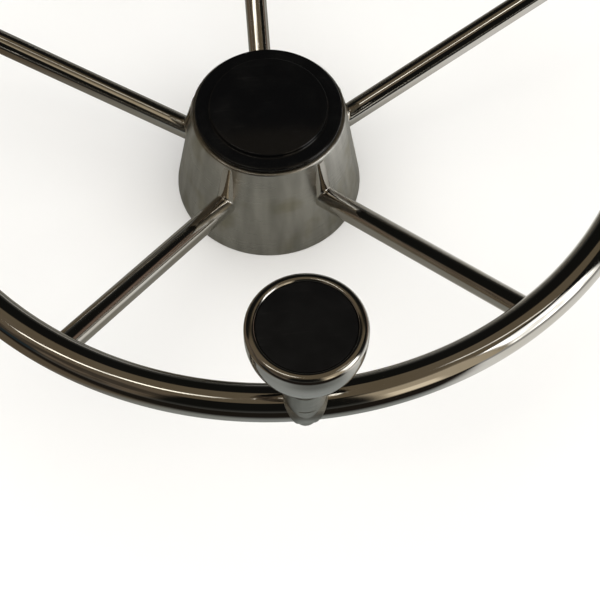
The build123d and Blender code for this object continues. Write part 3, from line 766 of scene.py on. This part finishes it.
BEAD_INNER_ROUND = 0.0016
inlay_low, inlay_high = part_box("knob_inlay")
LEDGE_TOP = inlay_low.z
LEDGE_THICKNESS = 0.0014
LEDGE_WIDTH = 0.0018
LEDGE_BASE = LEDGE_TOP - LEDGE_THICKNESS
LEDGE_INNER_RADIUS = SEAT_RADIUS - LEDGE_WIDTH
upper_bush_low, upper_bush_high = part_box("knob_upper_bush")
lower_bush_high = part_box("knob_lower_bush")[1]
BUSH_FLANGE = 0.0012
NECK_TOP = upper_bush_high.z - BUSH_FLANGE


def tangent_arc(start, way, stop, steps):
    """Arc that leaves start along a direction and ends at stop, and the direction it ends in."""
    start, way, stop = np.array(start), unit(np.array(way)), np.array(stop)
    normal = np.array([-way[1], way[0]])
    chord = stop - start
    radius = (chord @ chord) / (2 * chord @ normal)
    sweep = 2 * math.atan2(chord @ normal, chord @ way)
    angle = np.linspace(0, sweep, steps)[:, None]
    points = start + radius * (np.sin(angle) * way + (1 - np.cos(angle)) * normal)
    return points, math.cos(sweep) * way + math.sin(sweep) * normal


def bell(inset):
    """The bell's side from shoulder to neck: two arcs tangent at the waist, every radius less by an inset."""
    waist = (WAIST_RADIUS - inset, KNOB_TOP - WAIST_DEPTH)
    upper, way = tangent_arc((KNOB_RADIUS - inset, SHOULDER_HEIGHT), (0, -1), waist, 40)
    lower, _ = tangent_arc(waist, way, (NECK_RADIUS - inset, KNOB_END), 36)
    return np.concatenate([upper, lower[1:]])


def make_knob():
    """The bell's outside, bead, seat, hollow and bored neck as one closed outline."""
    outside = bell(0)[::-1]
    inside = bell(KNOB_WALL)
    inside = inside[(inside[:, 1] < LEDGE_BASE) & (inside[:, 1] > NECK_TOP)]
    bead = profile([
        (KNOB_RADIUS, SHOULDER_HEIGHT, 0),
        (KNOB_RADIUS, KNOB_TOP, BEAD_OUTER_ROUND),
        (SEAT_RADIUS, KNOB_TOP, BEAD_INNER_ROUND),
        (SEAT_RADIUS, LEDGE_TOP, 0),
        (LEDGE_INNER_RADIUS, LEDGE_TOP, 0),
        (LEDGE_INNER_RADIUS, LEDGE_BASE, 0),
        (KNOB_RADIUS - KNOB_WALL, LEDGE_BASE, 0),
    ], closed=False, spacing=0.0006)
    neck = profile([
        (inside[-1, 0] - NECK_STEP, NECK_TOP, 0),
        (BUSH_RADIUS, NECK_TOP, 0),
        (BUSH_RADIUS, upper_bush_low.z, 0),
        (NECK_BORE, upper_bush_low.z, 0),
        (NECK_BORE, lower_bush_high.z, 0),
        (BUSH_RADIUS, lower_bush_high.z, 0),
        (BUSH_RADIUS, KNOB_END + BUSH_FLANGE, 0),
        (BUSH_FLANGE_RADIUS, KNOB_END + BUSH_FLANGE, 0),
        (BUSH_FLANGE_RADIUS, KNOB_END, 0),
    ], closed=False)
    outline = np.concatenate([outside[:-1], bead, inside, neck])
    mesh = lathed("knob", outline, KNOB_MIDDLE, steps=160, sharp=50)
    fit(mesh, "knob", "polished_steel", knob_steel, "knob_body")


def nylon():
    """Turned natural nylon: ivory, softly mottled, slightly translucent looking, with fine tool lines."""
    material, tree, shader = finish_material("bush_nylon")
    solid = put(tree, "TexCoord", {}).outputs["Object"]
    cloud = noise(tree, solid, 300.0, 3.0)
    place = put(tree, "Mapping", {"Vector": solid, "Scale": (60, 60, 3000)}).outputs[0]
    bump = put(tree, "Bump", {"Height": noise(tree, place, 1.0), "Strength": 0.2, "Distance": 0.0002})
    shader.inputs["Subsurface Weight"].default_value = 0.1
    values = {
        "Base Color": mixed(tree, cloud, NYLON_TONE, NYLON_SHADE_TONE),
        "Roughness": ramp(tree, cloud, 0.3, 0.7, 0.42, 0.55),
        "Normal": bump.outputs[0],
    }
    for key, value in values.items():
        tree.links.new(value, shader.inputs[key])
    return material


knob_steel = polished_steel("knob_steel", along=2600.0, around=16.0, haze=0.11, worn=0.06)
make_knob()
refinish(nylon(), "knob_thrust_washer", "knob_lower_bush", "knob_upper_bush")

# ---------------------------------------------------------------------------------------------
# Knob inlay: a disc of dull black plastic pressed on the seat, a little below the bead's crest,
# with its edge eased and its face slightly crowned.
# ---------------------------------------------------------------------------------------------
INLAY_RADIUS = inlay_high.x
INLAY_CROWN = 0.00035
INLAY_EDGE_ROUND = 0.0004
INLAY_MARGIN = 1.5  # roundings in from its edge, where the face stops


def make_inlay():
    """Crowned face, eased edge and flat back as one outline from axis to axis."""
    edge_top = inlay_high.z - INLAY_CROWN
    face = crown(INLAY_RADIUS, inlay_high.z, INLAY_CROWN, 48)
    face = face[face[:, 0] < INLAY_RADIUS - INLAY_EDGE_ROUND * INLAY_MARGIN]
    edge = profile([
        (INLAY_RADIUS - INLAY_EDGE_ROUND, edge_top, 0),
        (INLAY_RADIUS, edge_top, INLAY_EDGE_ROUND * ROUND_SHARE),
        (INLAY_RADIUS, LEDGE_TOP, 0),
        (0, LEDGE_TOP, 0),
    ], closed=False)
    mesh = lathed("inlay", np.concatenate([face, edge[1:]]), KNOB_MIDDLE, steps=128, closed=False)
    fit(mesh, "knob", "black_inlay", inlay_black, "knob_inlay")


inlay_black = moulded_black("inlay_black", rough=0.40, worn=0.10, gloss=0.25, grain=2600.0, depth=0.12)
make_inlay()
